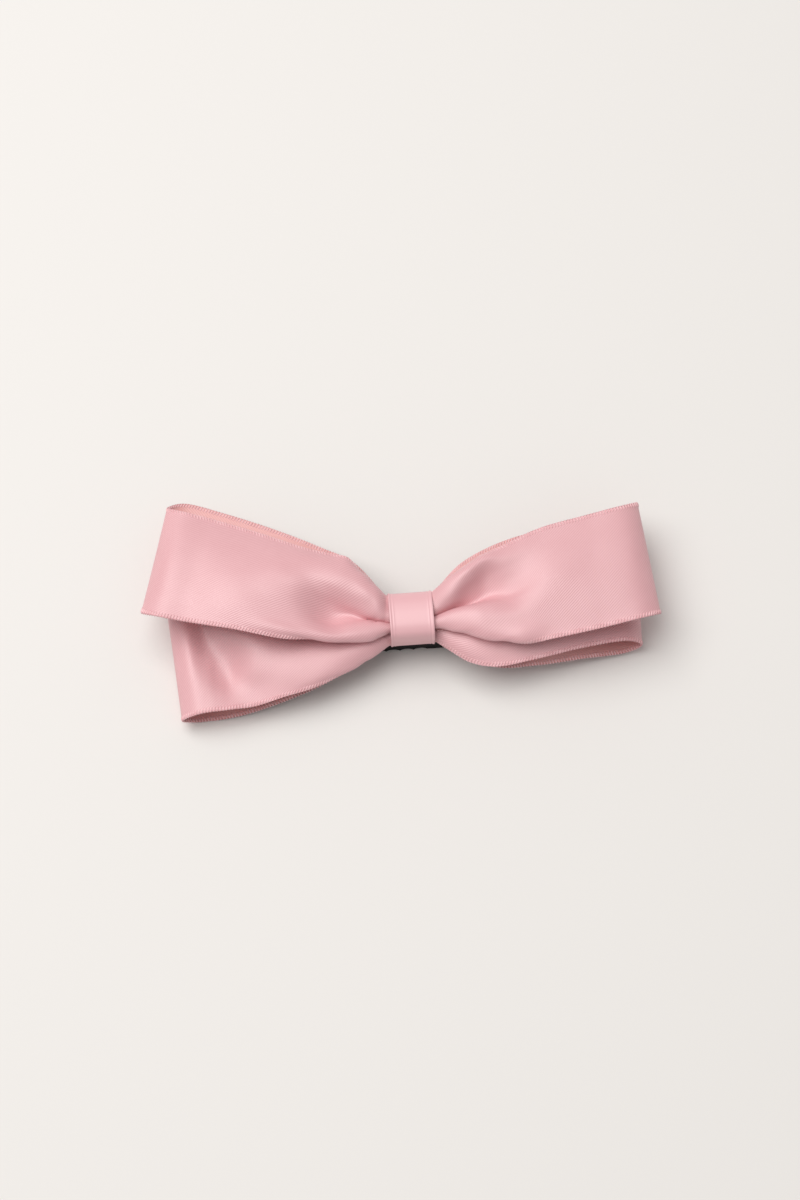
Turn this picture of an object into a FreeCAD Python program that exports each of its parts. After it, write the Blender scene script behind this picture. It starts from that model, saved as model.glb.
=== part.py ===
"""Hair barrette: a double satin bow on a toothed spring clip.

Millimetres.  +X runs along the clip towards its levers, +Y towards the long
upper-left loop, +Z up.  The origin lies under the knot on the flat underside
of the lower jaw.
"""
import FreeCAD, Part
import Sketcher
import os

doc = FreeCAD.newDocument("barrette")
V = FreeCAD.Vector
NEAR = 0.01                 # how close a corner must lie to count as being on a face

# ---------------------------------------------------------------- dimensions
DIMS = [
    # pressed steel clip
    ("sheet_gauge", 0.6), ("nose_reach", 32.0), ("nose_round", 2.6), ("bend_round", 1.2),
    ("upper_width", 8.6), ("upper_top", 5.5), ("upper_edge", 0.3),
    ("lower_width", 6.8), ("lower_rim", 4.4), ("jaw_gap", 0.3),
    ("pivot_ahead", 10.0), ("pivot_height", 2.7), ("ear_length", 1.9),
    ("lever_length", 14.0), ("lever_angle", 10.0), ("lever_round", 2.6),
    ("lever_overlap", 0.2), ("lever_step", 0.4),
    ("tooth_pitch", 2.9), ("tooth_round", 1.6), ("tooth_depth", 0.92),
    ("tooth_count", 11), ("last_tooth_ahead", 1.7),
    # rivet and spring
    ("pin_dia", 1.8), ("pin_fit", 0.02), ("pin_running_fit", 0.06),
    ("rivet_head_dia", 3.0), ("rivet_head_thick", 0.5),
    ("wire_dia", 0.6), ("coil_mean_radius", 1.5), ("coil_turns", 4.5),
    ("coil_pitch", 0.8), ("spring_leg", 6.0), ("leg_swell", 0.01),
    # knot
    ("glue_length", 11.0), ("glue_width", 7.0), ("glue_thick", 0.5),
    ("wrap_length", 10.0), ("wrap_width", 10.8), ("wrap_bottom", 6.0),
    ("wrap_top", 13.6), ("wrap_thick", 0.4), ("wrap_corner", 0.8),
    ("waist_length", 10.8), ("waist_width", 9.8),
    ("rear_waist_low", 6.9), ("rear_waist_high", 9.8),
    ("front_waist_low", 10.1), ("front_waist_high", 13.0),
    ("neck_length", 2.0), ("neck_inset", 0.5),
    ("thread_length", 1.2), ("thread_thick", 0.35),
    # ribbon
    ("ribbon_width", 25.0), ("ribbon_thick", 0.4), ("gather_half", 5.5), ("neck_half", 2.9),
    ("mouth_ahead", 1.2), ("mouth_half", 0.3), ("shoulder_at", 14.0), ("neck_ahead", 1.1),
    # how the gathered loop widens from the waist: distance out and half width
    ("flare_a_at", 9.5), ("flare_a_half", 7.6), ("flare_b_at", 12.0), ("flare_b_half", 8.6),
    ("flare_c_at", 20.0), ("flare_c_half", 9.1), ("flare_d_at", 36.0), ("flare_d_half", 11.7),
    ("flare_end_at", 42.0),
]

sheet = doc.addObject("Spreadsheet::Sheet", "dims")
for row, (alias, value) in enumerate(DIMS, start=1):
    sheet.set("A%d" % row, alias)
    sheet.set("B%d" % row, str(value))
    sheet.setAlias("B%d" % row, alias)

# Each loop: how far it reaches, which way it points and the heights of its
# two layers at the shoulder, half way along and at the fold.
LOOPS = {
    "front_left": dict(reach=55.5, yaw=162.0, crown=15.5, mid_at=27, mid_high=15.5,
                       mid_low=9.0, shoulder_low=9.7, fold_mid=10.8, fold_round=3.2),
    "front_right": dict(reach=52.1, yaw=10.0, crown=16.2, mid_at=27, mid_high=16.3,
                        mid_low=11.2, shoulder_low=10.6, fold_mid=11.4, fold_round=3.2),
    "rear_left": dict(reach=50.6, yaw=185.5, crown=9.0, mid_at=33, mid_high=8.1,
                      mid_low=5.9, shoulder_low=6.2, fold_mid=3.7, fold_round=3.3),
    "rear_right": dict(reach=48.8, yaw=2.0, crown=10.1, mid_at=27, mid_high=10.7,
                       mid_low=8.4, shoulder_low=7.2, fold_mid=4.3, fold_round=3.4),
}
row = len(DIMS)
for loop, values in LOOPS.items():
    for key, value in values.items():
        row += 1
        sheet.set("A%d" % row, loop + "_" + key)
        sheet.set("B%d" % row, str(value))
        sheet.setAlias("B%d" % row, loop + "_" + key)
doc.recompute()


def size(alias):
    return float(getattr(sheet, alias))


def dims(text):
    """Put the sheet's name in front of every alias used in an expression."""
    out, word = "", ""
    for mark in text + " ":
        if mark.isalnum() or mark in "_.":
            word += mark
            continue
        if word and hasattr(sheet, word):
            word = "dims." + word
        out += word + mark
        word = ""
    return out.strip()


# ------------------------------------------------------------------- helpers
def new_body(label):
    body = doc.addObject("PartDesign::Body", label)
    body.Label = label
    return body


def plane_of(body, role):
    return next(f for f in body.Origin.OriginFeatures if f.Role == role)


def new_sketch(body, label, role):
    sketch = body.newObject("Sketcher::SketchObject", label)
    sketch.AttachmentSupport = [(plane_of(body, role), "")]
    sketch.MapMode = "FlatFace"
    return sketch


def fix_point(sketch, geo, pos, at):
    """Hold a point at a pair of expressions."""
    for kind, text in zip(("DistanceX", "DistanceY"), at):
        text = dims(str(text))
        value = float(sketch.evalExpression(text))
        index = sketch.addConstraint(Sketcher.Constraint(kind, -1, 1, geo, pos, value))
        if "dims." in text:
            sketch.setExpression("Constraints[%d]" % index, text)


def outline(sketch, points, round_after=None):
    """Closed outline through the points; one side may be a half circle."""
    values = [V(*[float(sketch.evalExpression(dims(str(e)))) for e in p], 0) for p in points]
    first = sketch.GeometryCount
    count = len(points)
    for i in range(count):
        a, b = values[i], values[(i + 1) % count]
        if i == round_after:
            middle = (a + b) * 0.5
            side = (b - a) * 0.5
            bulge = middle + V(-side.y, side.x, 0)
            sketch.addGeometry(Part.Arc(a, bulge, b))
        else:
            sketch.addGeometry(Part.LineSegment(a, b))
    arc_ends = {}
    if round_after is not None:
        arc = first + round_after
        start = sketch.getPoint(arc, 1)
        flipped = (start - values[round_after]).Length > 1e-6
        arc_ends = {"start": 2 if flipped else 1, "end": 1 if flipped else 2}
    for i in range(count):
        j = (i + 1) % count
        tail = arc_ends["end"] if i == round_after else 2
        head = arc_ends["start"] if j == round_after else 1
        sketch.addConstraint(Sketcher.Constraint("Coincident", first + i, tail, first + j, head))
    if round_after is not None:
        sketch.addConstraint(Sketcher.Constraint("Symmetric", arc, 1, arc, 2, arc, 3))
    for i, point in enumerate(points):
        head = arc_ends["start"] if i == round_after else 1
        fix_point(sketch, first + i, head, point)


def rectangle(sketch, left, right, low, high):
    outline(sketch, [(left, low), (right, low), (right, high), (left, high)])


def circle(sketch, centre, radius):
    values = [float(sketch.evalExpression(dims(str(e)))) for e in centre]
    value = float(sketch.evalExpression(dims(radius)))
    geo = sketch.addGeometry(Part.Circle(V(values[0], values[1], 0), V(0, 0, 1), value))
    index = sketch.addConstraint(Sketcher.Constraint("Radius", geo, value))
    sketch.setExpression("Constraints[%d]" % index, dims(radius))
    fix_point(sketch, geo, 3, centre)


def pad(body, label, sketch, length):
    feature = body.newObject("PartDesign::Pad", label)
    feature.Profile = sketch
    feature.SideType = "Symmetric"
    feature.setExpression("Length", dims(length))
    body.Tip = feature
    doc.recompute()
    return feature


def pocket(body, label, sketch, length=None):
    before = body.Shape.Volume
    feature = body.newObject("PartDesign::Pocket", label)
    feature.Profile = sketch
    if length is None:
        feature.Type = "ThroughAll"
    else:
        feature.setExpression("Length", dims(length))
    feature.SideType = "Symmetric"
    body.Tip = feature
    doc.recompute()
    if body.Shape.Volume > before - 1e-3:
        raise RuntimeError(label + " removed nothing")
    return feature


def edge_names(feature, test):
    """Names of the straight edges whose two ends both pass the test."""
    names = []
    for i, edge in enumerate(feature.Shape.Edges, start=1):
        ends = [v.Point for v in edge.Vertexes]
        if len(ends) == 2 and test(ends[0], ends[1]):
            names.append("Edge%d" % i)
    return names


def face_names(feature, test):
    return ["Face%d" % i for i, f in enumerate(feature.Shape.Faces, start=1)
            if test(f.CenterOfMass)]


def fillet(body, label, base, names, radius):
    if not names:
        raise RuntimeError(label + " found no edges")
    feature = body.newObject("PartDesign::Fillet", label)
    feature.Base = (base, names)
    feature.setExpression("Radius", dims(radius))
    body.Tip = feature
    doc.recompute()
    return feature


def hollow(body, label, base, names):
    """Turn a block into a channel of sheet metal, open at the named faces."""
    feature = body.newObject("PartDesign::Thickness", label)
    feature.Base = (base, names)
    feature.setExpression("Value", dims("sheet_gauge"))
    feature.Mode = 0
    feature.Join = 1
    feature.Reversed = True
    body.Tip = feature
    doc.recompute()
    return feature


def tooth_row(body, label, centre_height):
    """Scallops that leave pointed teeth along both side walls."""
    sketch = new_sketch(body, label + "_profile", "XZ_Plane")
    circle(sketch, ("last_tooth_ahead", centre_height), "tooth_round")
    cut = pocket(body, label, sketch)
    row_of_cuts = body.newObject("PartDesign::LinearPattern", label + "_row")
    row_of_cuts.Originals = [cut]
    row_of_cuts.Direction = (sketch, ["H_Axis"])
    row_of_cuts.Reversed = True
    row_of_cuts.setExpression("Occurrences", dims("tooth_count"))
    row_of_cuts.setExpression("Length", dims("tooth_pitch * (tooth_count - 1)"))
    before = body.Shape.Volume
    body.Tip = row_of_cuts
    doc.recompute()
    if body.Shape.Volume > before - 1.0:
        raise RuntimeError(label + " row removed nothing")


def pin_hole(body, fit):
    sketch = new_sketch(body, body.Label + "_pin_profile", "XZ_Plane")
    circle(sketch, ("pivot_ahead", "pivot_height"), "pin_dia / 2 + " + fit)
    pocket(body, body.Label + "_pin_hole", sketch)


# ---------------------------------------------------------------- metal clip
def upper_jaw():
    """Channel with its teeth pointing down and a thumb lever bent upwards."""
    body = new_body("upper_jaw")
    side = new_sketch(body, "upper_block_profile", "XZ_Plane")
    rectangle(side, "-nose_reach", "pivot_ahead + ear_length", "upper_edge", "upper_top")
    block = pad(body, "upper_block", side, "upper_width")
    nose = -size("nose_reach")
    half = (size("upper_width") - size("bend_round")) / 2
    corners = edge_names(block, lambda a, b: abs(a.x - nose) < NEAR and abs(b.x - nose) < NEAR
                         and abs(a.y - b.y) < NEAR)
    rounded = fillet(body, "upper_nose", block, corners, "nose_round")
    bend = edge_names(rounded, lambda a, b: abs(a.x - nose) < NEAR and abs(b.x - nose) < NEAR
                      and min(a.z, b.z) > size("upper_top") - NEAR)
    rounded = fillet(body, "upper_bend", rounded, bend, "bend_round")
    back = size("pivot_ahead") + size("ear_length")
    open_faces = face_names(rounded, lambda c: c.z < size("upper_edge") + NEAR
                            or c.x > back - NEAR)
    channel = hollow(body, "upper_channel", rounded, open_faces)
    low_corners = edge_names(channel, lambda a, b: a.x > back - NEAR and b.x > back - NEAR
                             and a.z < size("upper_edge") + NEAR
                             and b.z < size("upper_edge") + NEAR)
    fillet(body, "upper_ear", channel, low_corners, "ear_length * 0.9")

    lever = new_sketch(body, "upper_lever_profile", "XZ_Plane")
    run = "lever_length * cos(lever_angle * 1deg)"
    rise = "lever_length * sin(lever_angle * 1deg)"
    root = "pivot_ahead + ear_length - lever_overlap"
    outline(lever, [(root, "upper_top - sheet_gauge"), (root, "upper_top"),
                    (root + " + lever_step", "upper_top"),
                    (root + " + " + run, "upper_top + " + rise),
                    (root + " + lever_step / 4 + " + run, "upper_top - sheet_gauge + " + rise),
                    (root + " + lever_step * 5 / 4", "upper_top - sheet_gauge")])
    plate = pad(body, "upper_lever", lever, "upper_width - bend_round")
    tip_x = max(v.X for v in plate.Shape.Vertexes)
    tip_corners = edge_names(plate, lambda a, b: min(a.x, b.x) > tip_x - 0.3
                             and abs(a.y - b.y) < NEAR and abs(abs(a.y) - half) < NEAR)
    fillet(body, "upper_lever_tip", plate, tip_corners, "lever_round")
    tooth_row(body, "upper_tooth", "upper_edge + tooth_depth - tooth_round")
    pin_hole(body, "pin_fit")


def lower_jaw():
    """Narrower channel nested inside the upper one, teeth up, flat lever."""
    body = new_body("lower_jaw")
    side = new_sketch(body, "lower_block_profile", "XZ_Plane")
    rectangle(side, "-nose_reach + sheet_gauge + jaw_gap", "pivot_ahead + ear_length",
              "0", "lower_rim")
    block = pad(body, "lower_block", side, "lower_width")
    nose = -size("nose_reach") + size("sheet_gauge") + size("jaw_gap")
    corners = edge_names(block, lambda a, b: abs(a.x - nose) < NEAR and abs(b.x - nose) < NEAR
                         and abs(a.y - b.y) < NEAR)
    rounded = fillet(body, "lower_nose", block, corners, "nose_round * 0.8")
    bend = edge_names(rounded, lambda a, b: abs(a.x - nose) < NEAR and abs(b.x - nose) < NEAR
                      and max(a.z, b.z) < NEAR)
    rounded = fillet(body, "lower_bend", rounded, bend, "bend_round * 0.75")
    back = size("pivot_ahead") + size("ear_length")
    open_faces = face_names(rounded, lambda c: c.z > size("lower_rim") - NEAR
                            or c.x > back - NEAR)
    channel = hollow(body, "lower_channel", rounded, open_faces)
    high_corners = edge_names(channel, lambda a, b: a.x > back - NEAR and b.x > back - NEAR
                              and a.z > size("lower_rim") - NEAR
                              and b.z > size("lower_rim") - NEAR)
    fillet(body, "lower_ear", channel, high_corners, "ear_length * 0.95")

    lever = new_sketch(body, "lower_lever_profile", "XZ_Plane")
    rectangle(lever, "pivot_ahead + ear_length - lever_overlap",
              "pivot_ahead + ear_length + lever_length", "0", "sheet_gauge")
    plate = pad(body, "lower_lever", lever, "lower_width - bend_round")
    tip_x = max(v.X for v in plate.Shape.Vertexes)
    half = (size("lower_width") - size("bend_round")) / 2
    tip_corners = edge_names(plate, lambda a, b: min(a.x, b.x) > tip_x - NEAR
                             and abs(a.y - b.y) < NEAR and abs(abs(a.y) - half) < NEAR)
    fillet(body, "lower_lever_tip", plate, tip_corners, "lever_round * 0.9")
    tooth_row(body, "lower_tooth", "lower_rim - tooth_depth + tooth_round")
    pin_hole(body, "pin_running_fit")


def crosswise_rod(label, radius, length, middle_y):
    """Cylinder along Y centred on the pivot line."""
    rod = doc.addObject("Part::Cylinder", label)
    rod.setExpression("Radius", dims(radius))
    rod.setExpression("Height", dims(length))
    rod.Placement = FreeCAD.Placement(V(), FreeCAD.Rotation(V(1, 0, 0), -90))
    rod.setExpression("Placement.Base.x", dims("pivot_ahead"))
    rod.setExpression("Placement.Base.y", dims("%s - (%s) / 2" % (middle_y, length)))
    rod.setExpression("Placement.Base.z", dims("pivot_height"))
    return rod


def pivot_pin():
    """Rivet with a head outside each ear of the upper jaw."""
    offset = "(upper_width + rivet_head_thick) / 2"
    parts = [crosswise_rod("pin_shank", "pin_dia / 2", "upper_width + 0.2", "0")]
    parts.append(crosswise_rod("pin_head_near", "rivet_head_dia / 2", "rivet_head_thick",
                               "0 - " + offset))
    parts.append(crosswise_rod("pin_head_far", "rivet_head_dia / 2", "rivet_head_thick",
                               "0 + " + offset))
    fuse("pivot_pin", parts)


def fuse(label, parts):
    whole = doc.addObject("Part::MultiFuse", label)
    whole.Shapes = parts
    whole.Label = label
    doc.recompute()
    return whole


def spring_leg(label, y_text, z_text):
    """Straight wire end that bears against one lever."""
    leg = doc.addObject("Part::Cylinder", label)
    leg.setExpression("Radius", dims("wire_dia / 2 + leg_swell"))
    leg.setExpression("Height", dims("spring_leg + wire_dia"))
    leg.Placement = FreeCAD.Placement(V(), FreeCAD.Rotation(V(0, 1, 0), 90))
    leg.setExpression("Placement.Base.x", dims("pivot_ahead - wire_dia"))
    leg.setExpression("Placement.Base.y", dims(y_text))
    leg.setExpression("Placement.Base.z", dims(z_text))
    return leg


def torsion_spring():
    """Close coil round the pin with a leg along each lever."""
    body = new_body("spring_coil")
    profile = new_sketch(body, "coil_wire_profile", "YZ_Plane")
    circle(profile, ("-coil_pitch * coil_turns / 2", "coil_mean_radius"), "wire_dia / 2")
    coil = body.newObject("PartDesign::AdditiveHelix", "coil")
    coil.Profile = profile
    coil.ReferenceAxis = (profile, ["H_Axis"])
    coil.Mode = "pitch-turns-angle"
    coil.setExpression("Pitch", dims("coil_pitch"))
    coil.setExpression("Turns", dims("coil_turns"))
    body.Tip = coil
    body.setExpression("Placement.Base.x", dims("pivot_ahead"))
    body.setExpression("Placement.Base.z", dims("pivot_height"))
    doc.recompute()
    half_coil = "coil_pitch * coil_turns / 2"
    legs = [spring_leg("spring_upper_leg", "0 - " + half_coil,
                       "pivot_height + coil_mean_radius"),
            spring_leg("spring_lower_leg", half_coil,
                       "pivot_height - coil_mean_radius")]
    fuse("torsion_spring", [body] + legs)


# ---------------------------------------------------------------------- knot
def glue_pad():
    block = doc.addObject("Part::Box", "glue_pad")
    block.Label = "glue_pad"
    block.setExpression("Length", dims("glue_length"))
    block.setExpression("Width", dims("glue_width"))
    block.setExpression("Height", dims("glue_thick"))
    block.setExpression("Placement.Base.x", dims("-glue_length / 2"))
    block.setExpression("Placement.Base.y", dims("-glue_width / 2"))
    block.setExpression("Placement.Base.z", dims("upper_top"))


def knot_wrap():
    """Narrow ribbon taken once round both waists and lapped underneath."""
    body = new_body("knot_wrap")
    ring = new_sketch(body, "wrap_block_profile", "YZ_Plane")
    rectangle(ring, "-wrap_width / 2", "wrap_width / 2", "wrap_bottom", "wrap_top")
    block = pad(body, "wrap_block", ring, "wrap_length")
    rim = edge_names(block, lambda a, b: abs(a.x - b.x) > size("wrap_length") - 0.1)
    fillet(body, "wrap_corners", block, rim, "wrap_corner")
    inside = new_sketch(body, "wrap_inside_profile", "YZ_Plane")
    rectangle(inside, "-wrap_width / 2 + wrap_thick", "wrap_width / 2 - wrap_thick",
              "wrap_bottom + 2 * wrap_thick", "wrap_top - wrap_thick")
    pocket(body, "wrap_inside", inside)


def waist(label, low, high):
    """Gathered middle of a ribbon with a neck where it is bound."""
    body = new_body(label + "_waist")
    section = new_sketch(body, label + "_waist_profile", "YZ_Plane")
    rectangle(section, "-waist_width / 2", "waist_width / 2", low, high)
    pad(body, label + "_waist_block", section, "waist_length")
    neck = new_sketch(body, label + "_neck_profile", "YZ_Plane")
    rectangle(neck, "-waist_width", "waist_width", low + " - 1", high + " + 1")
    rectangle(neck, "-waist_width / 2 + neck_inset", "waist_width / 2 - neck_inset",
              low + " + neck_inset", high + " - neck_inset")
    pocket(body, label + "_neck", neck, "neck_length")
    return body


def gather_thread(label, low, high):
    """Thread wound tight round the neck of a waist."""
    body = new_body(label)
    ring = new_sketch(body, label + "_profile", "YZ_Plane")
    inner = "(waist_width / 2 - neck_inset)"
    outer = "(waist_width / 2 - neck_inset + thread_thick)"
    rectangle(ring, "-" + outer, outer,
              low + " + neck_inset - thread_thick", high + " - neck_inset + thread_thick")
    rectangle(ring, "-" + inner, inner, low + " + neck_inset", high + " - neck_inset")
    pad(body, label + "_turns", ring, "thread_length")


def loop(label, low, high):
    """Band of ribbon that leaves the waist, folds over and comes back."""
    def name(key):
        return label + "_" + key

    body = new_body(name("loop"))
    start = "gather_half"
    turn = "%s - %s" % (name("reach"), name("fold_round"))
    fold_high = "%s + %s" % (name("fold_mid"), name("fold_round"))
    fold_low = "%s - %s" % (name("fold_mid"), name("fold_round"))
    thick = "ribbon_thick"

    outer = new_sketch(body, name("outer_profile"), "XZ_Plane")
    outline(outer, [(start, high), (start, low), ("shoulder_at", name("shoulder_low")),
                    (name("mid_at"), name("mid_low")), (turn, fold_low),
                    (turn, fold_high), (name("mid_at"), name("mid_high")),
                    ("shoulder_at", name("crown"))][::-1],
            round_after=2)
    pad(body, name("outer"), outer, "ribbon_width")

    inner = new_sketch(body, name("inner_profile"), "XZ_Plane")
    middle = "(%s + %s) / 2" % (low, high)
    outline(inner, [(start + " + mouth_ahead", middle + " + mouth_half"),
                    (start + " + mouth_ahead", middle + " - mouth_half"),
                    ("shoulder_at", name("shoulder_low") + " + " + thick),
                    (name("mid_at"), name("mid_low") + " + " + thick),
                    (turn, fold_low + " + " + thick), (turn, fold_high + " - " + thick),
                    (name("mid_at"), name("mid_high") + " - " + thick),
                    ("shoulder_at", name("crown") + " - " + thick)][::-1],
            round_after=2)
    pocket(body, name("inner"), inner)

    side = new_sketch(body, name("taper_profile"), "XY_Plane")
    outline(side, [("0", "neck_half"), ("gather_half + neck_ahead", "neck_half"),
                   ("flare_a_at", "flare_a_half"), ("flare_b_at", "flare_b_half"),
                   ("flare_c_at", "flare_c_half"), ("flare_d_at", "flare_d_half"),
                   ("flare_end_at", "ribbon_width / 2"),
                   ("flare_end_at", "ribbon_width / 2 + 1"), ("0", "ribbon_width / 2 + 1")])
    taper = pocket(body, name("taper"), side)
    other = body.newObject("PartDesign::Mirrored", name("taper_mirror"))
    other.Originals = [taper]
    other.MirrorPlane = (plane_of(body, "XZ_Plane"), [""])
    body.Tip = other
    body.Placement = FreeCAD.Placement(V(), FreeCAD.Rotation(V(0, 0, 1), 1))
    body.setExpression("Placement.Rotation.Angle", dims(name("yaw")))
    doc.recompute()
    return body


def bow_ribbon(label):
    low, high = label + "_waist_low", label + "_waist_high"
    parts = [waist(label, low, high)]
    for hand in ("_left", "_right"):
        parts.append(loop(label + hand, low, high))
    fuse(label + "_bow_ribbon", parts)
    gather_thread(label + "_gather_thread", low, high)


upper_jaw()
lower_jaw()
pivot_pin()
torsion_spring()
glue_pad()
knot_wrap()
bow_ribbon("rear")
bow_ribbon("front")
doc.recompute()

NODES = ["upper_jaw", "lower_jaw", "pivot_pin", "torsion_spring", "glue_pad", "knot_wrap",
         "rear_bow_ribbon", "front_bow_ribbon", "rear_gather_thread", "front_gather_thread"]

for item in doc.Objects:
    if "Invalid" in item.State or "Error" in item.State:
        raise RuntimeError(item.Label + " did not compute")
os.makedirs("parts", exist_ok=True)
for node in NODES:
    shape = doc.getObjectsByLabel(node)[0].Shape
    if shape.isNull() or not shape.isValid():
        raise RuntimeError(node + " is not a valid shape")
    shape.exportStep("parts/%s.step" % node)
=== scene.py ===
"""Double satin bow barrette: its looks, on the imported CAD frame.

Lengths inside the helpers are millimetres in the row frame; MM turns them
into Blender's metres.  +X runs along the clip, +Y away, +Z up.
"""
import math

import bpy
import mathutils
import numpy as np
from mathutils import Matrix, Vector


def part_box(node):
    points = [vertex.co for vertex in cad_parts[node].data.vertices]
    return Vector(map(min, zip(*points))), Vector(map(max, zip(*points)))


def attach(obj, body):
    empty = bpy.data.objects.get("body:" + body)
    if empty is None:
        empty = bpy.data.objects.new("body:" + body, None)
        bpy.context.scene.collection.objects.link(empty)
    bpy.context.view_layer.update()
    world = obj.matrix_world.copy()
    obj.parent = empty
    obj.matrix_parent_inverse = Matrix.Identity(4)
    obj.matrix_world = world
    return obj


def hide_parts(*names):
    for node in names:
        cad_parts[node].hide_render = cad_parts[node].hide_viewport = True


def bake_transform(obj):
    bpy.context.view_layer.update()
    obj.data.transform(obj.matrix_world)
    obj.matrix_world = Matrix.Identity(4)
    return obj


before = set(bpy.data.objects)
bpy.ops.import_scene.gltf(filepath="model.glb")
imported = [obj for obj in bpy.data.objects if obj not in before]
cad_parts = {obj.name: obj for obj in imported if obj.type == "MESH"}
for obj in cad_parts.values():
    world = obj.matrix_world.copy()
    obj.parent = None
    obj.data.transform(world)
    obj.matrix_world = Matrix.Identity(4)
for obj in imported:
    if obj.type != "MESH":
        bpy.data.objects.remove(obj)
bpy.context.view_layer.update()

MM = 0.001


def box_mm(node):
    low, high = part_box(node)
    return np.array(low) / MM, np.array(high) / MM


UPPER_LOW, UPPER_HIGH = box_mm("upper_jaw")
PIN_LOW, PIN_HIGH = box_mm("pivot_pin")

# ribbon stock
RIBBON_WIDTH = 25.0
RIBBON_THICK = 0.26
WAIST = 5.0                 # half the knot's width, where the ribbon leaves it
WRAP_WIDTH = 10.0
WRAP_DRAWN = 9.2            # the width drawn; the photo shows about 9.0

# picot loops along each selvedge
TICK_PITCH = 0.64
TICK_BARE = 0.6             # how far inside the waist the row of loops starts
TICK_INSET = 0.45           # from the selvedge to a loop's middle
TICK_LEAN = 0.35            # radians
TICK_HALF = (0.66, 0.22, 0.30)   # half length, half width and half height

# cloth grid
CELL = 0.7                  # spacing of the rows along a loop while it is being shaped
KNOT_ROWS = 9               # rows over the knot, which stand wider apart than CELL
REFINE = 2                  # final mesh rows per cloth row
CURVE_TRIALS = 60           # trial points for each given one
LOOP_TRIALS = 1500          # trial rows along a loop

# how the cloth relaxes
ROUNDS = 40
SLACK_PUSH = 0.08           # how hard a slack thread pushes, beside a tight one
DIAGONAL_PULL = 0.4         # how hard a diagonal pulls, beside a thread
MOVES_FROM = 5.0            # distance from the waist where the cloth moves freely
OPENS_FROM = 14.0           # distance from the waist where it is no longer gathered
HOME_PULL = 0.25            # pull back to the drawn shape in open cloth
GATHER_PULL = 0.35          # what the gathers add to that
SMOOTHING = 0.06
CLIP_ROOM = 0.35            # least height of the cloth above the clip
FLOOR_ROOM = 0.4            # and above the floor

# top of the clip, as the cloth meets it
CLIP_TOP = 5.5
LEVER_FROM = 12.0
LEVER_SLOPE = math.tan(math.radians(10))


# ------------------------------------------------------------------ curves
def read_curve(points, knots, places):
    """Cubic Hermite curve through the points, with finite-difference slopes."""
    slopes = np.gradient(points, knots, axis=0)
    at = np.clip(np.searchsorted(knots, places, side="right") - 1, 0, len(knots) - 2)
    span = (knots[at + 1] - knots[at])[:, None]
    t = (places - knots[at])[:, None] / span
    t2, t3 = t * t, t * t * t
    return ((2 * t3 - 3 * t2 + 1) * points[at] + (t3 - 2 * t2 + t) * span * slopes[at]
            + (3 * t2 - 2 * t3) * points[at + 1] + (t3 - t2) * span * slopes[at + 1])


def run_of(line):
    """Distance along a line at each of its points."""
    return np.concatenate([[0], np.cumsum(np.linalg.norm(np.diff(line, axis=0), axis=1))])


def even_curve(points, count):
    """Smooth curve through given points, as count even steps, and its length."""
    points = np.asarray(points, float)
    steps = np.linalg.norm(np.diff(points, axis=0), axis=1)
    knots = np.concatenate([[0], np.cumsum(np.sqrt(steps))])
    dense = np.linspace(0, knots[-1], CURVE_TRIALS * len(points))
    line = read_curve(points, knots, dense)
    run = run_of(line)
    places = np.interp(np.linspace(0, run[-1], count), run, dense)
    return read_curve(points, knots, places), run[-1]


def ease(x):
    x = np.clip(x, 0, 1)
    return x * x * (3 - 2 * x)


def unit(a):
    return a / (np.linalg.norm(a, axis=-1, keepdims=True) + 1e-12)
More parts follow.
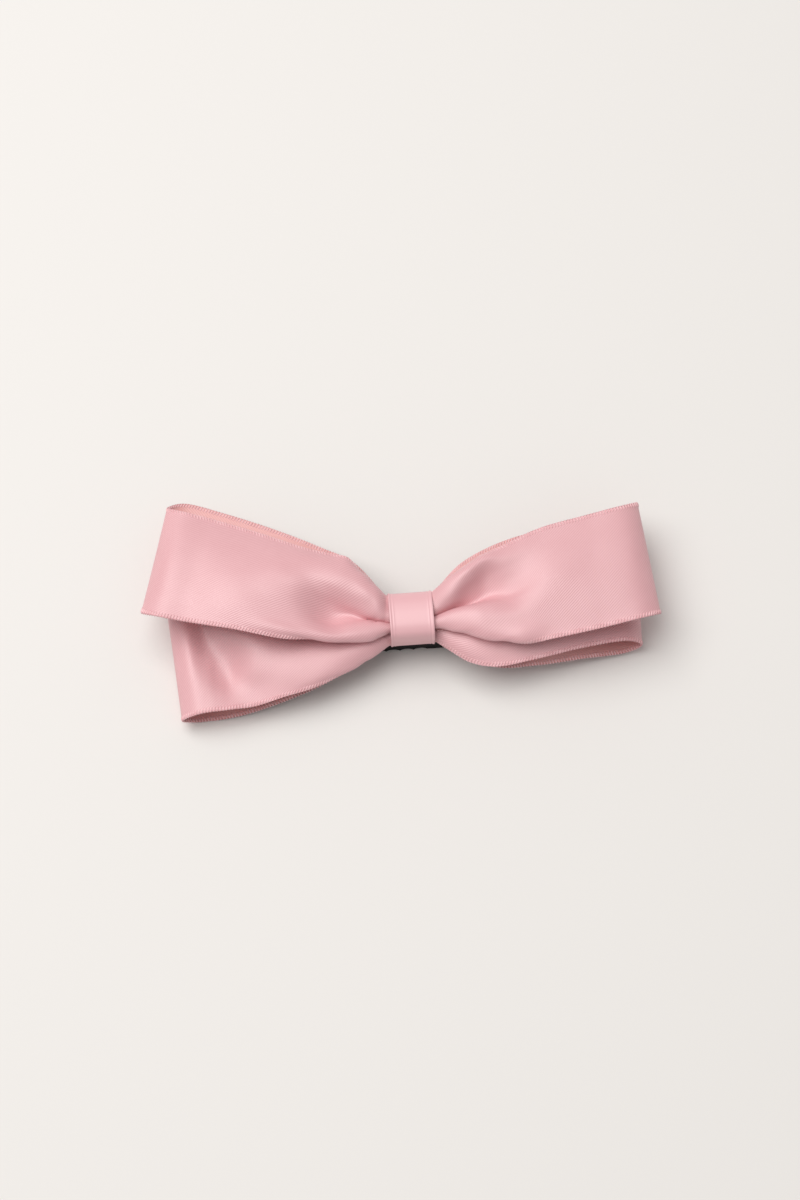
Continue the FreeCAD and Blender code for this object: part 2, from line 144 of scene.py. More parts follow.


# ------------------------------------------------------------- the four loops
# Each loop is a row of cross-sections, from the top of the knot out to the
# fold and back underneath.  A section is (x at the far selvedge, x at the near
# selvedge, then its line of (y, z) from the far selvedge to the near one).
# The points are given in millimetres.
LOOPS = {
    "upper_left": [
        (-5.0, -5.0, [(0.5, 10.8), (3.2, 10.4), (4.4, 10.8), (4.2, 11.7), (3.0, 12.3), (1.0, 12.7),
                      (-0.8, 12.5), (-1.6, 11.8), (-1.75, 10.9), (-2.1, 11.8), (-3.0, 12.4),
                      (-3.8, 12.0), (-3.9, 11.1), (-2.6, 10.8)]),
        (-6.6, -6.8, [(3.0, 10.9), (4.8, 10.7), (5.9, 11.5), (5.8, 12.8), (4.4, 13.8), (2.2, 14.0),
                      (0.1, 13.3), (-1.1, 12.3), (-1.35, 10.6), (-1.6, 11.9), (-2.8, 12.8),
                      (-4.2, 12.5), (-4.7, 11.4), (-3.2, 10.8)]),
        (-8.5, -8.8, [(6.9, 11.0), (7.9, 11.5), (8.3, 12.3), (7.8, 13.4), (6.2, 14.3), (4.0, 14.7),
                      (1.6, 13.8), (-0.3, 12.5), (-0.65, 10.7), (-1.0, 11.6), (-2.6, 13.0),
                      (-4.4, 13.1), (-5.6, 12.0), (-5.0, 11.0), (-3.6, 10.8)]),
        (-12.0, -13.0, [(12.5, 12.9), (11.3, 13.9), (9.3, 14.7), (6.8, 15.1), (4.4, 14.5),
                        (2.2, 12.8), (0.8, 10.9), (-0.6, 11.4), (-2.6, 13.2), (-4.8, 13.7),
                        (-5.8, 12.5), (-4.9, 11.5), (-3.4, 11.3)]),
        (-15.5, -18.5, [(13.9, 12.6), (12.4, 13.9), (9.8, 15.1), (7.0, 15.2), (4.8, 13.8),
                        (2.8, 11.7), (0.9, 10.9), (-0.9, 11.5), (-2.8, 13.3), (-4.6, 14.3), (-5.6, 13.2),
                        (-4.9, 12.2), (-3.7, 11.9)]),
        (-22.0, -26.0, [(16.3, 12.2), (14.6, 13.5), (11.6, 14.9), (8.2, 15.7), (4.8, 15.3),
                        (1.6, 14.8), (-1.2, 14.9), (-3.4, 15.2), (-4.5, 13.8)]),
        (-31.0, -37.5, [(20.5, 11.6), (15.5, 13.8), (9.0, 15.8), (3.0, 16.0), (-1.8, 15.0)]),
        (-41.0, -47.0, [(24.8, 10.8), (16.8, 13.6), (8.6, 14.8), (0.6, 14.6)]),
        (-46.8, -53.2, [(27.0, 10.6), (14.8, 13.6), (2.4, 14.4)]),
        (-50.0, -56.3, [(28.9, 8.6), (16.6, 10.0), (4.4, 11.6)]),
        (-46.8, -53.2, [(30.6, 6.2), (18.2, 7.2), (6.0, 8.6)]),
        (-38.0, -44.0, [(27.6, 6.0), (16.0, 6.8), (4.4, 8.4)]),
        (-27.0, -32.0, [(22.6, 6.6), (12.0, 7.8), (2.0, 9.2)]),
        (-17.5, -21.0, [(17.2, 8.0), (13.4, 9.4), (9.8, 8.6), (6.0, 10.2), (2.4, 9.2), (-0.6, 10.4)]),
        (-11.0, -12.0, [(12.6, 9.8), (10.2, 10.7), (7.6, 9.7), (4.8, 10.5), (2.0, 9.6), (-0.6, 10.6),
                        (-2.6, 10.0)]),
        (-5.0, -5.0, [(4.4, 10.1), (3.6, 10.6), (2.6, 10.1), (1.2, 10.5), (-0.2, 10.1), (-1.6, 10.5),
                      (-2.8, 10.1), (-3.9, 10.5)]),
    ],
    "upper_right": [
        (5.0, 5.0, [(4.4, 10.9), (4.2, 11.8), (3.1, 12.4), (1.4, 12.7), (0.0, 12.4), (-0.7, 11.6),
                    (-0.85, 10.8), (-1.3, 11.8), (-2.3, 12.4), (-3.2, 12.2), (-3.7, 11.4), (-3.1, 10.8),
                    (-1.8, 10.7), (0.2, 10.6)]),
        (8.6, 9.0, [(6.8, 12.4), (6.4, 13.8), (4.9, 14.6), (2.9, 14.3), (1.3, 12.9), (0.5, 11.3),
                    (0.1, 10.6), (-0.2, 12.5), (-1.4, 13.5), (-3.4, 13.3), (-4.9, 12.2), (-4.4, 11.1),
                    (-2.6, 10.9), (-1.0, 10.8)]),
        (12.4, 13.8, [(9.2, 12.9), (8.6, 14.7), (7.2, 15.6), (5.5, 14.6), (4.2, 12.9), (2.6, 11.5),
                      (1.2, 10.7), (0.7, 12.3), (-0.2, 14.0), (-2.0, 14.7), (-5.0, 14.2), (-6.9, 12.7),
                      (-6.1, 11.6), (-4.0, 11.3)]),
        (15.6, 17.0, [(10.9, 13.5), (10.4, 14.9), (9.2, 15.4), (7.8, 14.4), (6.4, 13.0), (4.6, 11.9),
                      (2.4, 11.1), (1.3, 12.2), (0.1, 14.0), (-2.2, 14.8), (-5.0, 14.5), (-6.9, 13.9),
                      (-8.0, 12.8), (-7.2, 11.9), (-5.6, 11.6)]),
        (20.0, 22.0, [(12.6, 13.9), (11.3, 14.6), (9.4, 14.8), (7.2, 14.0), (4.6, 13.0), (2.2, 12.7),
                      (0.2, 13.8), (-2.4, 14.7), (-5.2, 14.6), (-7.6, 14.5), (-9.0, 13.4), (-8.6, 12.5)]),
        (28.0, 29.0, [(15.8, 14.2), (9.6, 15.0), (3.0, 15.5), (-3.4, 14.6), (-8.6, 13.6)]),
        (38.0, 39.0, [(18.0, 14.2), (9.6, 15.2), (1.2, 15.2), (-7.2, 13.9)]),
        (47.0, 48.8, [(19.9, 13.9), (7.3, 14.5), (-5.4, 13.9)]),
        (50.0, 52.2, [(21.2, 11.2), (8.6, 11.3), (-4.0, 11.2)]),
        (47.0, 48.8, [(20.8, 8.4), (8.6, 8.2), (-3.6, 8.5)]),
        (38.0, 39.0, [(19.2, 8.6), (7.6, 8.6), (-4.4, 9.0)]),
        (27.0, 28.0, [(17.0, 9.2), (12.0, 9.8), (6.6, 9.2), (0.8, 10.2), (-5.0, 9.6)]),
        (18.0, 18.0, [(14.2, 9.8), (11.2, 10.8), (8.0, 9.9), (4.8, 10.7), (1.2, 10.2), (-2.0, 10.8),
                      (-4.6, 10.4)]),
        (10.8, 10.8, [(10.2, 10.4), (8.4, 11.0), (6.4, 9.9), (4.4, 10.5), (2.0, 10.0), (-0.4, 10.4),
                      (-2.6, 10.0), (-4.0, 10.4)]),
        (5.0, 5.0, [(4.4, 10.1), (3.6, 10.6), (2.6, 10.1), (1.2, 10.5), (-0.2, 10.1), (-1.6, 10.5),
                    (-2.8, 10.1), (-3.9, 10.5)]),
    ],
    "lower_left": [
        (-5.0, -5.0, [(1.6, 8.0), (3.6, 7.9), (4.5, 8.6), (3.8, 9.5), (2.0, 9.7), (0.4, 9.2), (-0.3, 8.0),
                      (-1.0, 9.2), (-2.8, 9.8), (-4.5, 9.5), (-5.3, 8.4), (-5.3, 7.3), (-4.0, 7.0)]),
        (-8.8, -8.8, [(4.2, 8.4), (6.2, 8.6), (6.0, 9.6), (4.0, 9.9), (1.8, 9.3), (0.4, 7.9), (-0.8, 8.6),
                      (-2.6, 9.8), (-5.0, 10.2), (-7.0, 9.4), (-8.0, 8.0), (-7.2, 7.0), (-5.8, 7.0)]),
        (-12.6, -12.6, [(7.2, 8.6), (5.2, 9.6), (2.6, 9.3), (0.6, 8.0), (-1.4, 8.6), (-4.0, 9.9),
                        (-6.8, 10.0), (-9.0, 8.8), (-10.0, 7.5), (-9.0, 6.9)]),
        (-17.5, -19.5, [(7.8, 8.6), (5.0, 9.0), (1.8, 8.2), (-1.6, 8.8), (-5.4, 9.7), (-9.0, 9.4),
                        (-11.8, 8.4), (-12.8, 7.2)]),
        (-26.0, -27.6, [(8.0, 7.8), (3.0, 8.2), (-3.0, 8.9), (-9.0, 8.7), (-14.8, 6.8)]),
        (-33.2, -33.8, [(7.9, 7.7), (2.6, 8.5), (-3.4, 8.7), (-8.6, 7.7), (-12.4, 6.3), (-16.0, 5.6)]),
        (-39.2, -38.8, [(7.8, 7.4), (3.2, 7.5), (-1.0, 6.8), (-5.0, 5.4), (-9.0, 4.9), (-13.2, 5.7),
                        (-16.5, 6.2)]),
        (-41.8, -41.0, [(7.8, 6.9), (3.6, 6.8), (-0.6, 5.9), (-4.8, 5.0), (-8.8, 5.2), (-12.8, 6.1),
                        (-16.7, 6.4)]),
        (-44.4, -43.2, [(7.7, 6.4), (4.0, 5.9), (0.0, 5.3), (-4.8, 5.6), (-10.6, 6.5), (-16.8, 6.5)]),
        (-47.9, -46.4, [(7.6, 6.2), (-4.6, 6.9), (-17.1, 6.0)]),
        (-51.5, -49.4, [(7.6, 3.8), (-4.8, 3.7), (-17.4, 3.4)]),
        (-48.2, -46.6, [(7.6, 1.2), (-4.6, 0.7), (-17.0, 0.7)]),
        (-38.0, -38.0, [(7.6, 3.4), (-4.4, 2.8), (-16.5, 0.9)]),
        (-27.0, -28.0, [(7.2, 6.0), (1.6, 5.9), (-5.6, 5.8), (-14.6, 2.9)]),
        (-17.5, -18.5, [(6.6, 6.2), (3.6, 7.0), (0.4, 6.1), (-3.0, 7.0), (-7.2, 6.2), (-11.8, 5.2)]),
        (-10.6, -10.8, [(5.6, 6.4), (4.0, 7.2), (2.2, 6.3), (0.2, 7.2), (-2.0, 6.3), (-4.6, 7.0),
                        (-7.8, 6.4)]),
        (-5.0, -5.0, [(4.2, 6.8), (3.2, 7.3), (2.0, 6.8), (0.8, 7.3), (-0.6, 6.8), (-2.0, 7.2),
                      (-3.2, 6.8), (-4.4, 7.0)]),
    ],
    "lower_right": [
        (5.0, 5.0, [(1.6, 8.0), (3.6, 7.9), (4.5, 8.6), (3.8, 9.5), (2.0, 9.7), (0.6, 9.2), (0.0, 8.0),
                    (-0.7, 9.2), (-2.4, 9.8), (-4.2, 9.6), (-5.2, 8.6), (-5.3, 7.4)]),
        (8.4, 8.0, [(4.4, 8.6), (6.4, 8.8), (6.2, 9.8), (4.2, 10.0), (2.0, 9.4), (0.6, 8.2), (-0.8, 8.8),
                    (-2.8, 10.0), (-5.2, 10.1), (-7.0, 9.3), (-8.0, 8.2)]),
        (12.0, 11.6, [(8.4, 9.2), (6.0, 9.9), (3.2, 9.4), (1.0, 8.6), (-1.4, 9.4), (-4.2, 10.5),
                      (-7.0, 10.4), (-9.2, 9.6), (-10.7, 8.5)]),
        (18.5, 17.0, [(9.8, 9.8), (6.4, 9.9), (2.8, 9.6), (-1.2, 10.2), (-5.2, 10.7), (-9.0, 10.0),
                      (-12.2, 8.8)]),
        (28.0, 26.0, [(12.2, 9.8), (6.4, 9.9), (-0.2, 10.3), (-6.6, 9.9), (-11.1, 8.8)]),
        (38.0, 36.0, [(13.6, 9.0), (6.0, 9.4), (-1.8, 9.4), (-9.2, 8.2)]),
        (46.0, 45.2, [(14.5, 7.6), (3.2, 7.9), (-8.1, 7.3)]),
        (49.3, 48.4, [(14.9, 4.6), (3.4, 4.6), (-8.3, 4.3)]),
        (46.0, 45.2, [(14.6, 1.7), (3.0, 1.6), (-8.8, 1.5)]),
        (38.0, 36.0, [(13.8, 4.2), (2.0, 4.6), (-10.0, 3.3)]),
        (28.0, 26.0, [(12.6, 7.0), (7.0, 8.3), (0.4, 8.6), (-5.4, 7.4), (-11.3, 5.0)]),
        (18.5, 17.0, [(10.0, 7.2), (6.6, 7.9), (3.0, 7.3), (-0.8, 7.9), (-5.4, 7.0), (-11.4, 6.0)]),
        (11.0, 10.4, [(7.4, 7.2), (5.2, 7.9), (2.8, 7.1), (0.2, 7.8), (-2.6, 7.0), (-5.4, 7.4),
                      (-8.8, 6.8)]),
        (5.0, 5.0, [(4.2, 6.8), (3.2, 7.3), (2.0, 6.8), (0.8, 7.3), (-0.6, 6.8), (-2.0, 7.2),
                    (-3.2, 6.8), (-4.4, 7.0)]),
    ],
}


def loop_grid(name, across):
    """The loop as rows of points, with the rows CELL apart on average."""
    lines = []
    for x_far, x_near, line in LOOPS[name]:
        share = np.linspace(0, 1, len(line))
        points = [(x_far + (x_near - x_far) * s, y, z) for s, (y, z) in zip(share, line)]
        lines.append(even_curve(points, across)[0])
    lines = np.array(lines)
    mean_step = np.linalg.norm(np.diff(lines, axis=0), axis=2).mean(axis=1)
    knots = np.concatenate([[0], np.cumsum(np.sqrt(mean_step))])
    dense = np.linspace(0, knots[-1], LOOP_TRIALS)
    flat = lines.reshape(len(lines), -1)
    trial = read_curve(flat, knots, dense).reshape(-1, across, 3)
    trial_step = np.linalg.norm(np.diff(trial, axis=0), axis=2).mean(axis=1)
    run = np.concatenate([[0], np.cumsum(trial_step)])
    count = int(round(run[-1] / CELL)) + 1
    places = np.interp(np.linspace(0, run[-1], count), run, dense)
    return read_curve(flat, knots, places).reshape(-1, across, 3)


def joined_strip(left, right):
    """One ribbon: from under the left loop, over the knot, to under the right one."""
    inner = np.linspace(0, 1, KNOT_ROWS + 2)[1:-1]
    across_knot = [left[0] * (1 - t) + right[0] * t for t in inner]
    return np.concatenate([left[::-1], np.array(across_knot), right])


# ---------------------------------------------- cloth that resists stretching
def clip_height(x, y):
    """Top of the metal clip under a point, with soft shoulders."""
    side_room, side_fade = 1.0, 1.2
    nose_room, nose_fade = 1.2, 1.4
    lever_room, lever_fade = 0.8, 1.0
    half_width = (UPPER_HIGH[1] - UPPER_LOW[1]) / 2
    rise = np.clip(x - LEVER_FROM, 0, None) * LEVER_SLOPE
    on = ease((half_width + side_room - np.abs(y)) / side_fade)
    after_nose = ease((x - UPPER_LOW[0] + nose_room) / nose_fade)
    before_end = ease((UPPER_HIGH[0] + lever_room - x) / lever_fade)
    return (CLIP_TOP + rise) * on * (after_nose * before_end)


def link_sets(rows, cols):
    """Grid links in sets that share no point: along, across, then both diagonals."""
    sets = []
    for start in (0, 1):
        every = slice(None)
        sets.append(((slice(start, rows - 1, 2), every), (slice(start + 1, rows, 2), every)))
        sets.append(((every, slice(start, cols - 1, 2)), (every, slice(start + 1, cols, 2))))
    for i in (0, 1):
        for j in (0, 1):
            low_r, low_c = slice(i, rows - 1, 2), slice(j, cols - 1, 2)
            high_r, high_c = slice(i + 1, rows, 2), slice(j + 1, cols, 2)
            sets.append(((low_r, low_c), (high_r, high_c)))
            sets.append(((low_r, high_c), (high_r, low_c)))
    return sets


def pull(grid, a, b, rest, stiffness, free):
    """Move the ends of every a-b link towards its rest length.

    A thread pulls hard when it is stretched, and hardly pushes when slack.
    """
    gap = grid[b] - grid[a]
    length = np.linalg.norm(gap, axis=-1, keepdims=True) + 1e-9
    wa, wb = free[a], free[b]
    stiffness = np.where(length < rest, SLACK_PUSH * stiffness, stiffness)
    share = stiffness * (length - rest) / length * gap / np.maximum(wa + wb, 1e-6)
    grid[a] += share * wa
    grid[b] -= share * wb


def relax(grid, rounds, free):
    """Pull the strip towards its flat lengths while it stays near its shape.

    Close to the knot the cloth is gathered, so there the links keep the
    lengths that they were drawn with.
    """
    rows, cols = grid.shape[:2]
    home = grid.copy()
    reach = np.abs(grid[:, cols // 2, 0])
    open_out = ease((reach - WAIST) / OPENS_FROM)[:, None, None]
    keep = HOME_PULL + GATHER_PULL * (1 - open_out)
    along = np.median(np.linalg.norm(np.diff(grid, axis=0), axis=-1))
    across = RIBBON_WIDTH / (cols - 1)
    table = []
    for a, b in link_sets(rows, cols):
        steps = (a[0] != b[0], a[1] != b[1])
        flat = math.hypot(along * steps[0], across * steps[1])
        drawn = np.linalg.norm(grid[b] - grid[a], axis=-1, keepdims=True)
        spread = open_out[a[0]]
        stiffness = DIAGONAL_PULL if all(steps) else 1.0
        table.append((a, b, drawn * (1 - spread) + flat * spread, stiffness))
    for _ in range(rounds):
        for a, b, rest, stiffness in table:
            pull(grid, a, b, rest, stiffness, free)
        soft = grid.copy()
        soft[1:-1] += SMOOTHING * (grid[:-2] + grid[2:] - 2 * grid[1:-1])
        soft[:, 1:-1] += SMOOTHING * (grid[:, :-2] + grid[:, 2:] - 2 * grid[:, 1:-1])
        grid = grid + (soft - grid) * free * open_out
        grid += (home - grid) * keep * free
        lowest = np.maximum(clip_height(grid[..., 0], grid[..., 1]) + CLIP_ROOM, FLOOR_ROOM)
        grid[..., 2] = np.where(free[..., 0] > 0, np.maximum(grid[..., 2], lowest), grid[..., 2])
    return grid


def refined(grid, factor):
    """The grid with more rows and columns on smooth curves."""
    for _ in range(2):
        count, other = grid.shape[:2]
        places = np.linspace(0, count - 1, (count - 1) * factor + 1)
        flat = read_curve(grid.reshape(count, -1), np.arange(count, dtype=float), places)
        grid = flat.reshape(-1, other, 3).swapaxes(0, 1)
    return grid


# -------------------------------------------------------------------- meshes
def grid_normals(grid):
    """Normals on the satin side: outside a loop, up on its top."""
    return unit(np.cross(np.gradient(grid, axis=1), np.gradient(grid, axis=0)))


def mesh_object(name, verts_mm, faces, strip=None):
    mesh = bpy.data.meshes.new(name)
    mesh.from_pydata([tuple(v) for v in np.asarray(verts_mm) * MM], [], faces)
    mesh.update()
    if strip is not None:
        layer = mesh.attributes.new("strip", "FLOAT_VECTOR", "POINT")
        layer.data.foreach_set("vector", np.asarray(strip, np.float32).ravel())
    mesh.shade_smooth()
    piece = bpy.data.objects.new(name, mesh)
    bpy.context.scene.collection.objects.link(piece)
    return piece


def quads(index):
    a, b = index[:-1, :-1].ravel(), index[1:, :-1].ravel()
    c, d = index[1:, 1:].ravel(), index[:-1, 1:].ravel()
    return np.stack([a, d, c, b], axis=1)


def sheet_mesh(name, grid, thick, width):
    """Closed sheet of the given thickness, with its flat place on each point.

    thick is one number, or one for each point of the grid.
    """
    rows, cols = grid.shape[:2]
    normal = grid_normals(grid)
    along = run_of(grid[:, cols // 2])
    across = np.linspace(0, width, cols)
    u, v = np.meshgrid(along, across, indexing="ij")
    half = np.broadcast_to(np.asarray(thick, float) / 2, (rows, cols))[..., None]
    face, back = grid + normal * half, grid - normal * half
    index = np.arange(rows * cols).reshape(rows, cols)
    other = index + rows * cols
    faces = [quads(index), quads(other)[:, ::-1]]
    for edge, flip in ((np.s_[:, 0], True), (np.s_[:, -1], False), (np.s_[0], False), (np.s_[-1], True)):
        p, q = index[edge], other[edge]
        wall = np.stack([p[:-1], p[1:], q[1:], q[:-1]], axis=1)
        faces.append(wall[:, ::-1] if flip else wall)
    strip = [np.stack([u, v, np.full_like(u, side)], axis=-1).reshape(-1, 3) for side in (1.0, 0.0)]
    verts = np.concatenate([face.reshape(-1, 3), back.reshape(-1, 3)])
    faces = [tuple(int(i) for i in f) for f in np.concatenate(faces)]
    return mesh_object(name, verts, faces, np.concatenate(strip))


def bead(around=8, along=6):
    """Unit ball, as points and faces."""
    points = [(0, 0, 1)]
    for i in range(1, along):
        tilt = math.pi * i / along
        for j in range(around):
            turn = 2 * math.pi * j / around
            points.append((math.sin(tilt) * math.cos(turn), math.sin(tilt) * math.sin(turn),
                           math.cos(tilt)))
    points.append((0, 0, -1))
    faces = []
    for j in range(around):
        k = (j + 1) % around
        faces.append((0, 1 + j, 1 + k))
        for i in range(along - 2):
            a, b = 1 + i * around, 1 + (i + 1) * around
            faces.append((a + j, b + j, b + k, a + k))
        a = 1 + (along - 2) * around
        faces.append((a + j, len(points) - 1, a + k))
    return np.array(points), faces


def picot_edges(name, grid):
    """Row of slanted thread loops wound over both selvedges."""
    points, faces = bead()
    verts, all_faces, strip = [], [], []
    normal = grid_normals(grid)
    for col, inner, lean_way in ((0, 3, 1), (-1, -4, -1)):
        line, up = grid[:, col], normal[:, col]
        cross = unit(grid[:, inner] - line)
        run = run_of(line)
        for place in np.arange(TICK_PITCH, run[-1] - TICK_PITCH, TICK_PITCH):
            here, n, c = (np.array([np.interp(place, run, field[:, k]) for k in range(3)])
                          for field in (line, up, cross))
            if abs(here[0]) < WAIST - TICK_BARE:
                continue
            n, c = unit(n), unit(c)
            e = unit(np.cross(n, c)) * lean_way
            lean = unit(c * math.cos(TICK_LEAN) + e * math.sin(TICK_LEAN))
            wide = unit(np.cross(n, lean))
            base = len(verts) * len(points)
            centre = here + c * TICK_INSET
            verts.append(centre + points[:, :1] * lean * TICK_HALF[0]
                         + points[:, 1:2] * wide * TICK_HALF[1] + points[:, 2:] * n * TICK_HALF[2])
            strip.append(np.tile([place, 0.5, 1.0], (len(points), 1)))
            all_faces += [tuple(base + i for i in f) for f in faces]
    return mesh_object(name, np.concatenate(verts), all_faces, np.concatenate(strip))


# ----------------------------------------------------------------- materials
def new_material(name):
    material = bpy.data.materials.new(name)
    material.use_nodes = True
    nodes, links = material.node_tree.nodes, material.node_tree.links
    return material, nodes, links, nodes["Principled BSDF"]


def colour_mix(nodes, links, factor, low, high, at=(0.0, 1.0)):
    ramp = nodes.new("ShaderNodeValToRGB")
    ramp.color_ramp.elements[0].color = (*low, 1)
    ramp.color_ramp.elements[1].color = (*high, 1)
    ramp.color_ramp.elements[0].position, ramp.color_ramp.elements[1].position = at
    links.new(factor, ramp.inputs["Fac"])
    return ramp.outputs["Color"]


TWILL_PITCH = 0.46
TWILL_SLANT = math.radians(-52)
WAVE_PERIOD = 0.314159      # length of one wave of the wave texture at scale 1
CLOUD_SHARE = 0.35          # how much of the colour's change is slow clouding


def satin(name, face, shade, twill_depth, twill_share=0.65):
    """Satin: fine slanted twill, faint clouding, a broad sheen and a dull back with painted shade.

    The twill runs in colour from shade to face, and twill_depth is in millimetres.
    """
    material, nodes, links, shader = new_material(name)
    place = nodes.new("ShaderNodeAttribute")
    place.attribute_name = "strip"
    turn = nodes.new("ShaderNodeMapping")
    turn.inputs["Rotation"].default_value = (0, 0, TWILL_SLANT)
    links.new(place.outputs["Vector"], turn.inputs["Vector"])
    twill = nodes.new("ShaderNodeTexWave")
    twill.inputs["Scale"].default_value = WAVE_PERIOD / TWILL_PITCH
    twill.inputs["Distortion"].default_value = 0.6
    twill.inputs["Detail"].default_value = 1.0
    links.new(turn.outputs["Vector"], twill.inputs["Vector"])
    cloud = nodes.new("ShaderNodeTexNoise")
    cloud.inputs["Scale"].default_value = 0.22
    cloud.inputs["Detail"].default_value = 3.0
    links.new(place.outputs["Vector"], cloud.inputs["Vector"])
    faint = nodes.new("ShaderNodeMath")
    faint.operation = "MULTIPLY"
    faint.inputs[1].default_value = CLOUD_SHARE
    links.new(cloud.outputs["Fac"], faint.inputs[0])
    blend = nodes.new("ShaderNodeMath")
    blend.operation = "MULTIPLY_ADD"
    blend.inputs[1].default_value = twill_share
    links.new(twill.outputs["Fac"], blend.inputs[0])
    links.new(faint.outputs[0], blend.inputs[2])
    colour = colour_mix(nodes, links, blend.outputs[0], shade, face, at=(0.0, 0.85))
    side = nodes.new("ShaderNodeSeparateXYZ")
    links.new(place.outputs["Vector"], side.inputs["Vector"])
    # the back side takes a duller colour, darkened further as painted shade for the loop insides
    two_faces = nodes.new("ShaderNodeMix")
    two_faces.data_type = "RGBA"
    links.new(side.outputs["Z"], two_faces.inputs["Factor"])
    two_faces.inputs[6].default_value = (*DULL_BACK_AND_PAINTED_SHADE, 1)
    links.new(colour, two_faces.inputs[7])
    links.new(two_faces.outputs[2], shader.inputs["Base Color"])
    bump = nodes.new("ShaderNodeBump")
    bump.inputs["Strength"].default_value = 0.6
    bump.inputs["Distance"].default_value = twill_depth * MM
    links.new(twill.outputs["Fac"], bump.inputs["Height"])
    links.new(bump.outputs["Normal"], shader.inputs["Normal"])
    shader.inputs["Roughness"].default_value = 0.44
    shader.inputs["Specular IOR Level"].default_value = 1.0
    shader.inputs["Sheen Weight"].default_value = 0.15
    shader.inputs["Sheen Roughness"].default_value = 0.35
    shader.inputs["Sheen Tint"].default_value = (1.0, 0.80, 0.84, 1)
    return material


def enamel(name):
    """Black stoved enamel over pressed steel."""
    material, nodes, links, shader = new_material(name)
    spots = nodes.new("ShaderNodeTexNoise")
    spots.inputs["Scale"].default_value = 900
    spots.inputs["Detail"].default_value = 4
    place = nodes.new("ShaderNodeTexCoord")
    links.new(place.outputs["Object"], spots.inputs["Vector"])
    links.new(colour_mix(nodes, links, spots.outputs["Fac"], (0.002, 0.002, 0.002),
                         (0.006, 0.006, 0.006)), shader.inputs["Base Color"])
    bump = nodes.new("ShaderNodeBump")
    bump.inputs["Strength"].default_value = 0.25
    bump.inputs["Distance"].default_value = 0.02 * MM
    links.new(spots.outputs["Fac"], bump.inputs["Height"])
    links.new(bump.outputs["Normal"], shader.inputs["Normal"])
    shader.inputs["Roughness"].default_value = 0.5
    shader.inputs["IOR"].default_value = 1.18
    return material


def twisted(name):
    """Spun thread: fine slanting plies."""
    material, nodes, links, shader = new_material(name)
    place = nodes.new("ShaderNodeTexCoord")
    plies = nodes.new("ShaderNodeTexWave")
    plies.bands_direction = "DIAGONAL"
    plies.inputs["Scale"].default_value = 900
    links.new(place.outputs["Object"], plies.inputs["Vector"])
    links.new(colour_mix(nodes, links, plies.outputs["Fac"], (0.60, 0.30, 0.32), (0.85, 0.52, 0.55)),
              shader.inputs["Base Color"])
    shader.inputs["Roughness"].default_value = 0.7
    return material


def drawn_wire(name):
    """Bright spring wire with fine drawing marks."""
    material, nodes, links, shader = new_material(name)
    place = nodes.new("ShaderNodeTexCoord")
    marks = nodes.new("ShaderNodeTexNoise")
    marks.inputs["Scale"].default_value = 2500
    links.new(place.outputs["Object"], marks.inputs["Vector"])
    links.new(colour_mix(nodes, links, marks.outputs["Fac"], (0.42, 0.42, 0.43), (0.68, 0.68, 0.69)),
              shader.inputs["Base Color"])
    shader.inputs["Metallic"].default_value = 1.0
    shader.inputs["Roughness"].default_value = 0.3
    return material


def set_glue(name):
    """Hot-melt glue, set milky and slightly uneven."""
    material, nodes, links, shader = new_material(name)
    place = nodes.new("ShaderNodeTexCoord")
    cloud = nodes.new("ShaderNodeTexNoise")
    cloud.inputs["Scale"].default_value = 700
    links.new(place.outputs["Object"], cloud.inputs["Vector"])
    links.new(colour_mix(nodes, links, cloud.outputs["Fac"], (0.62, 0.58, 0.50), (0.80, 0.77, 0.70)),
              shader.inputs["Base Color"])
    shader.inputs["Roughness"].default_value = 0.28
    return material


def painted_floor():
    material, nodes, links, shader = new_material("pale_floor")
    shader.inputs["Base Color"].default_value = (0.785, 0.765, 0.745, 1)
    shader.inputs["Roughness"].default_value = 0.7
    return material


def finish_piece(piece, material, slot, *nodes, body="bow"):
    piece.data.materials.append(material)
    if nodes:
        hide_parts(*nodes)
    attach(piece, body)
    return piece


# --------------------------------------------------------------- the ribbons
PINK = (0.78, 0.435, 0.465)
PINK_SHADE = (0.665, 0.33, 0.355)
# the back's own duller tone, darkened further as painted shade for the insides of the loops
DULL_BACK_AND_PAINTED_SHADE = (0.75, 0.37, 0.36)
PICOT = (0.82, 0.49, 0.515)
PICOT_SHADE = (0.74, 0.40, 0.42)
bow_satin = satin("bow_satin", PINK, PINK_SHADE, twill_depth=0.05)
edge_satin = satin("picot_thread", PICOT, PICOT_SHADE, twill_depth=0.01)
# face and shade are the same here, so the wrap's weave is only in its bump
wrap_satin = satin("wrap_satin", PINK, PINK, twill_depth=0.004, twill_share=0.10)
clip_enamel = enamel("clip_enamel")
sewing_thread = twisted("sewing_thread")
wire_steel = drawn_wire("spring_wire")
milky_glue = set_glue("set_glue")


def bow(label, level, cad_node):
    """One bow from one strip of ribbon, with the picot loops along its edges.

    Its flat length counts every row as CELL, but the rows over the knot stand
    wider apart, so it is 2.6 mm short for the upper bow and 2.0 mm for the lower.
    """
    across = int(round(RIBBON_WIDTH / CELL)) + 1
    strip = joined_strip(loop_grid(level + "_left", across), loop_grid(level + "_right", across))
    free = np.ones(strip.shape[:2] + (1,)) * ease((np.abs(strip[..., :1]) - WAIST) / MOVES_FROM)
    strip = relax(strip, ROUNDS, free)
    grid = refined(strip, REFINE)
    piece = sheet_mesh(label, grid, RIBBON_THICK, RIBBON_WIDTH)
    finish_piece(piece, bow_satin, "bow_satin", cad_node)
    picot = picot_edges(label + "_selvedge", grid)
    finish_piece(picot, edge_satin, "bow_satin")


bow("upper_bow_ribbon", "upper", "front_bow_ribbon")
bow("lower_bow_ribbon", "lower", "rear_bow_ribbon")


